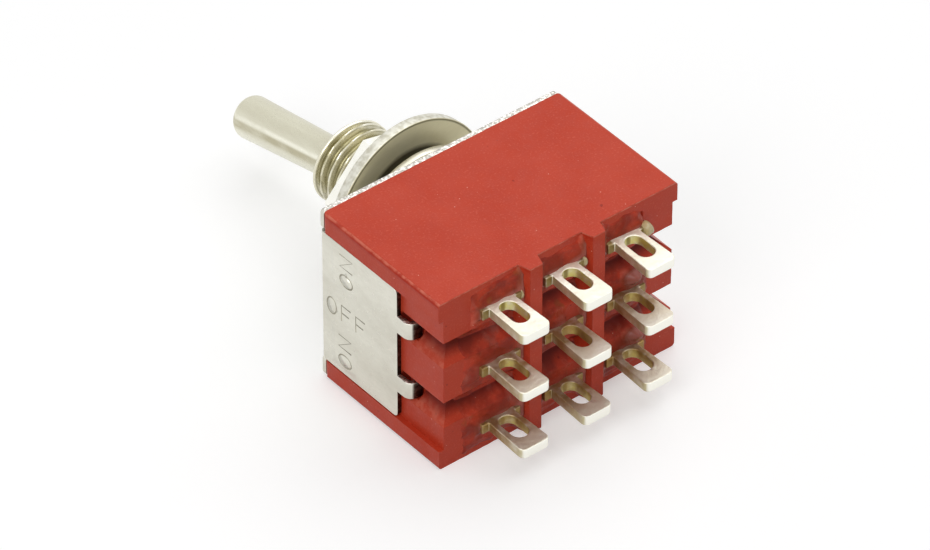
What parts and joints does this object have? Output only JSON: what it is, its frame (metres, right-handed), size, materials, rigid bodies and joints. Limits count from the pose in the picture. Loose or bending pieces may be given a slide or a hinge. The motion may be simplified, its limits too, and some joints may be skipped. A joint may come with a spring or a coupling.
{
  "type": "toggle switch",
  "caption": "Miniature panel toggle switch: red moulded case with rows of solder lugs, metal frame bracket, threaded bushing with nuts and washers, and a round lever.",
  "frame": {"origin": "on the axis of the threaded bushing, in the outer face of the frame bracket, where a panel or its nut seats", "axes": "+Y along the bushing towards the lever's tip, +X along the row of poles, +Z the way the lever is thrown and the way up as it lies on one side of its case"},
  "size_m": [0.0188, 0.0354, 0.0132],
  "materials": {
    "case": "moulded red thermoset, matte and lightly speckled",
    "resin": "dark red potting resin, glossy and wrinkled",
    "bracket": "nickel-plated sheet steel, satin, lightly scratched",
    "bushing": "nickel-plated brass, turned thread",
    "lever": "nickel-plated brass, satin",
    "pivot_pin": "bright steel",
    "actuator": "off-white nylon",
    "plunger": "plain brass",
    "spring": "spring steel",
    "rocker": "silver-faced copper alloy",
    "terminal": "silver-plated copper alloy, slightly tarnished",
    "nut": "nickel-plated brass",
    "lock_washer": "nickel-plated steel",
    "flat_washer": "nickel-plated steel, tarnished to olive"
  },
  "bodies": {
    "case": {"case": "case", "frame_bracket": "bracket", "bushing": "bushing", "back_nut": "nut", "lock_washer": "lock_washer", "upper_terminal_1": "terminal", "upper_terminal_2": "terminal", "upper_terminal_3": "terminal", "common_terminal_1": "terminal", "common_terminal_2": "terminal", "common_terminal_3": "terminal", "lower_terminal_1": "terminal", "lower_terminal_2": "terminal", "lower_terminal_3": "terminal", "upper_seal_1": "resin", "upper_seal_2": "resin", "upper_seal_3": "resin", "common_seal_1": "resin", "common_seal_2": "resin", "common_seal_3": "resin", "lower_seal_1": "resin", "lower_seal_2": "resin", "lower_seal_3": "resin"},
    "toggle": {"lever": "lever", "pivot_pin": "pivot_pin"},
    "slider": {"actuator": "actuator", "plunger_1": "plunger", "plunger_2": "plunger", "plunger_3": "plunger", "plunger_spring_1": "spring", "plunger_spring_2": "spring", "plunger_spring_3": "spring"},
    "contact_1": {"rocker_1": "rocker"},
    "contact_2": {"rocker_2": "rocker"},
    "contact_3": {"rocker_3": "rocker"},
    "washer": {"flat_washer": "flat_washer"},
    "nut": {"front_nut": "nut"}
  },
  "joints": [
    {"name": "lever_throw", "type": "hinge", "parent": "case", "child": "toggle", "pos_m": [0, 0.0063, 0], "axis": [1, 0, 0], "range_deg": [0, 25]},
    {"name": "actuator_slide", "type": "slide", "parent": "case", "child": "slider", "axis": [0, 0, 1], "range_m": [-0.00377, 0]},
    {"name": "rocker_1_tilt", "type": "hinge", "parent": "case", "child": "contact_1", "pos_m": [-0.00495, -0.0073, 0], "axis": [1, 0, 0], "range_deg": [-18, 0]},
    {"name": "rocker_2_tilt", "type": "hinge", "parent": "case", "child": "contact_2", "pos_m": [0, -0.0073, 0], "axis": [1, 0, 0], "range_deg": [-18, 0]},
    {"name": "rocker_3_tilt", "type": "hinge", "parent": "case", "child": "contact_3", "pos_m": [0.00495, -0.0073, 0], "axis": [1, 0, 0], "range_deg": [-18, 0]},
    {"name": "washer_slide", "type": "slide", "parent": "case", "child": "washer", "axis": [0, 1, 0], "range_m": [0, 0.00187]},
    {"name": "front_nut_turn", "type": "hinge", "parent": "washer", "child": "nut", "pos_m": [0, 0.00498, 0], "axis": [0, 1, 0], "range_deg": [0, 900.1]}
  ],
  "couplings": [
    {"joint": "actuator_slide", "follows": "lever_throw", "m_per_rad": -0.0086312},
    {"joint": "rocker_1_tilt", "follows": "lever_throw", "ratio": -0.72},
    {"joint": "rocker_2_tilt", "follows": "lever_throw", "ratio": -0.72},
    {"joint": "rocker_3_tilt", "follows": "lever_throw", "ratio": -0.72},
    {"joint": "front_nut_turn", "follows": "washer_slide", "rad_per_m": 8377.6}
  ]
}
